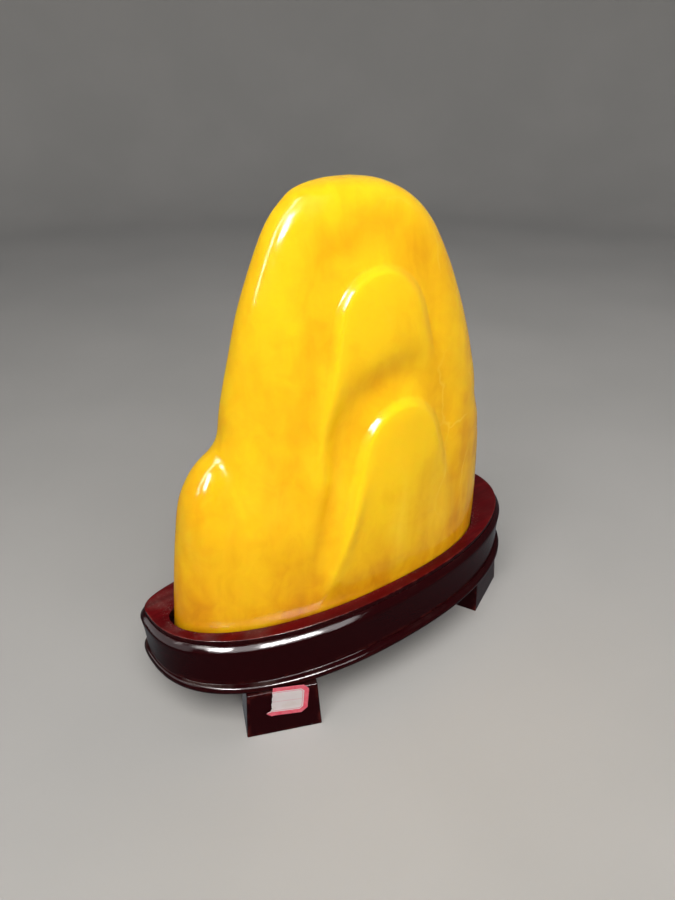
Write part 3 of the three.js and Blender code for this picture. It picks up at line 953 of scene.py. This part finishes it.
def makeFeet():
    places, turns = footPlaces()
    points = meshFrom("footPlaces", places, [])
    setAttribute(points, "turn", turns)
    blockObject = addObject("footBlock", makeBlockMesh(), None)
    pointsObject = addObject("footPlaces", points, None)
    mesh = bakeNodes(pointsObject, makeFeetTree(), {"Block": blockObject, "Lacquer": redLacquer})
    dropObject(pointsObject)
    dropObject(blockObject)
    mesh.name = "blockFeet"
    feet = addObject("blockFeet", mesh, redLacquer)
    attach(feet, "root")
    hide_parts(*feetShape["places"])
    return feet


blockFeet = makeFeet()
print("feet made:", len(blockFeet.data.polygons), "faces")


# blank gummed label on the front left foot, in millimetres across the foot's face

labelShape = {
    "width": 31.0, "height": 31.0, "left": -11.0, "bottom": 20.0, "tilt": -5.0, "cutCorner": 5.0,
    "torn": ((0.22, 0.9, 0.0), (0.15, 2.3, 1.0), (0.1, 5.1, 0.0)),      # reach, pace, start
    "tongue": {"reach": 4.2, "height": 3.2, "spread": 1.9},             # torn, low on the left
    "dots": {"count": 17, "spread": 0.35, "stop": 5.5},
    "thickness": 0.22, "standOff": 0.15, "peel": 0.8, "topPeel": 0.35, "stiffFrom": 26.0, "steps": 64,
}


def makeLabel():
    s = labelShape
    steps = s["steps"]
    share = np.linspace(0.0, 1.0, steps + 1)
    across, up = np.meshgrid(share, share)
    tall = up * s["height"]
    tongue = s["tongue"]
    start = sum(reach * np.sin(tall * pace + begin) for reach, pace, begin in s["torn"])
    start = start - tongue["reach"] * np.exp(-((tall - tongue["height"]) / tongue["spread"]) ** 2)
    fromTopOrFoot = np.minimum(tall, s["height"] - tall)
    stop = s["width"] - np.maximum(0.0, s["cutCorner"] - fromTopOrFoot)
    wide = mixed(start, stop, across)
    corner = (s["width"] - wide - s["cutCorner"] + fromTopOrFoot) / math.sqrt(2.0)
    fromEdge = np.minimum(np.minimum(s["width"] - wide, fromTopOrFoot), corner)
    dots = np.exp(-((tall - s["height"] / 2) / s["dots"]["spread"]) ** 2)
    dots *= np.sin(wide / s["width"] * math.pi * s["dots"]["count"]) ** 2
    dots *= s["width"] - wide > s["dots"]["stop"]
    peel = s["peel"] * (1.0 - smooth(across, 0.0, 0.16)) + s["topPeel"] * smooth(up, 0.9, 1.0)
    lift = s["standOff"] + peel * (0.55 + 0.45 * np.sin(tall * 0.35))

    tilt = math.radians(s["tilt"])
    localX = s["left"] + wide * math.cos(tilt) - tall * math.sin(tilt)
    localZ = s["bottom"] + wide * math.sin(tilt) + tall * math.cos(tilt)
    places, turns = footPlaces()
    leaning = feetShape["batter"] * np.minimum(localZ, s["stiffFrom"]) / feetShape["height"]
    flat = np.stack([localX, leaning - lift, localZ], axis=-1).reshape(-1, 3) * mm
    turn = np.array(Matrix.Rotation(float(turns[0]), 3, "Z"))
    points = flat @ turn.T + places[0]
    count = steps + 1
    faces = []
    for i in range(steps):
        for j in range(steps):
            low = i * count + j
            faces.append((low, low + 1, low + count + 1, low + count))
    mesh = meshFrom("paperLabel", points, faces)
    setAttribute(mesh, "fromEdge", fromEdge.ravel())
    setAttribute(mesh, "dots", dots.ravel())
    mesh.shade_smooth()
    label = addObject("paperLabel", mesh, gummedPaper)
    wall = label.modifiers.new("paper", "SOLIDIFY")
    wall.thickness = s["thickness"] * mm
    wall.offset = 1.0
    solid = bakedMesh(label)
    label.modifiers.clear()
    label.data = solid
    bpy.data.meshes.remove(mesh)
    solid.name = "paperLabel"
    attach(label, "root")
    return label


paperLabel = makeLabel()
print("label made:", len(paperLabel.data.polygons), "faces")


# floor, light and camera, in metres

studio = {
    "floorRadius": 2.2, "flatShares": (0.35, 0.7), "wallHeight": 2.0,
    "sweepRadius": 0.8, "sweepSteps": 12, "sides": 96,
    "world": (0.92, 0.95, 1.0, 1.0), "worldStrength": 0.18,
    "aim": (-0.02, -0.0155, 0.24),
    "lights": {
        # azimuth from the front towards the right, elevation, distance, width, height, watts, colour
        "softbox": (-46.0, 54.0, 1.80, 1.50, 1.10, 38.0, (1.0, 0.98, 0.95)),
        "frontFill": (-10.0, 22.0, 1.90, 1.40, 0.90, 13.0, (1.0, 0.98, 0.95)),
        "rightFill": (70.0, 40.0, 1.90, 1.20, 1.20, 4.5, (1.0, 0.98, 0.96)),
        "sideStrip": (-94.0, 42.0, 1.25, 0.075, 1.10, 11.5, (1.0, 0.98, 0.95)),
        "frontStrip": (-71.0, 41.0, 1.50, 0.32, 0.60, 46.0, (1.0, 0.98, 0.95)),
        "rimPanel": (-20.0, 36.0, 1.60, 2.20, 0.90, 250.0, (1.0, 0.97, 0.98)),
        "rimPanelLeft": (-108.0, 14.0, 1.60, 2.00, 1.20, 62.0, (1.0, 0.97, 0.98)),
        "rimSpotLeft": (-52.0, 34.0, 1.60, 0.42, 0.40, 200.0, (1.0, 0.98, 0.97)),
        "rimSpotRight": (-9.0, 35.0, 1.60, 0.70, 0.40, 330.0, (1.0, 0.98, 0.97)),
    },
    "diffuseOnly": ("softbox", "frontFill", "rightFill"),
    "standOnly": ("rimPanel", "rimPanelLeft", "rimSpotLeft", "rimSpotRight"),
}


def makeFloor():
    s = studio
    profile = [(share * s["floorRadius"], 0.0) for share in s["flatShares"]]
    for i in range(s["sweepSteps"] + 1):
        angle = math.pi / 2 * i / s["sweepSteps"]
        profile.append((s["floorRadius"] + s["sweepRadius"] * math.sin(angle),
                        s["sweepRadius"] * (1.0 - math.cos(angle))))
    profile.append((s["floorRadius"] + s["sweepRadius"], s["wallHeight"]))
    bearings = 2 * np.pi * np.arange(s["sides"]) / s["sides"]
    points = [(r * math.cos(a), r * math.sin(a), z) for r, z in profile for a in bearings]
    faces = [face[::-1] for face in ringFaces(len(profile), s["sides"])]
    faces.append(tuple(range(s["sides"])))
    mesh = meshFrom("paleFloor", points, faces)
    mesh.shade_smooth()
    floor = addObject("paleFloor", mesh, paleFloor)
    floor.visible_glossy = False             # keeps a pale sheen off the dark lacquer


def makeLights():
    aim = Vector(studio["aim"])
    standPieces = bpy.data.collections.new("standPieces")
    for piece in (standBoard, blockFeet, paperLabel):
        standPieces.objects.link(piece)
    for name, (azimuth, elevation, distance, width, height, watts, colour) in studio["lights"].items():
        a = math.radians(azimuth)
        e = math.radians(elevation)
        away = Vector((math.sin(a) * math.cos(e), -math.cos(a) * math.cos(e), math.sin(e)))
        lamp = bpy.data.lights.new(name, "AREA")
        lamp.shape = "RECTANGLE"
        lamp.size = width
        lamp.size_y = height
        lamp.energy = watts
        lamp.color = colour
        holder = bpy.data.objects.new(name, lamp)
        holder.location = aim + away * distance
        holder.rotation_euler = away.to_track_quat("Z", "Y").to_euler()
        holder.visible_camera = False
        holder.visible_glossy = name not in studio["diffuseOnly"]
        holder.visible_diffuse = name in studio["diffuseOnly"]
        bpy.context.scene.collection.objects.link(holder)
        if name in studio["standOnly"]:
            holder.light_linking.receiver_collection = standPieces
    world = bpy.data.worlds.new("studioAir")
    world.use_nodes = True
    background = world.node_tree.nodes["Background"]
    background.inputs["Color"].default_value = studio["world"]
    background.inputs["Strength"].default_value = studio["worldStrength"]
    bpy.context.scene.world = world


cameraView = {
    "place": (-0.342645, -0.416239, 0.497), "tilt": 61.5044, "turn": -37.5,
    "lens": 28.0, "sensor": 36.0,
}


def makeCamera():
    lens = bpy.data.cameras.new("photoCamera")
    lens.lens = cameraView["lens"]
    lens.sensor_width = cameraView["sensor"]
    holder = bpy.data.objects.new("photoCamera", lens)
    holder.location = cameraView["place"]
    holder.rotation_euler = (math.radians(cameraView["tilt"]), 0.0, math.radians(cameraView["turn"]))
    bpy.context.scene.collection.objects.link(holder)
    bpy.context.scene.camera = holder


makeFloor()
makeLights()
makeCamera()
bpy.context.scene.view_settings.view_transform = "Standard"
print("studio made")
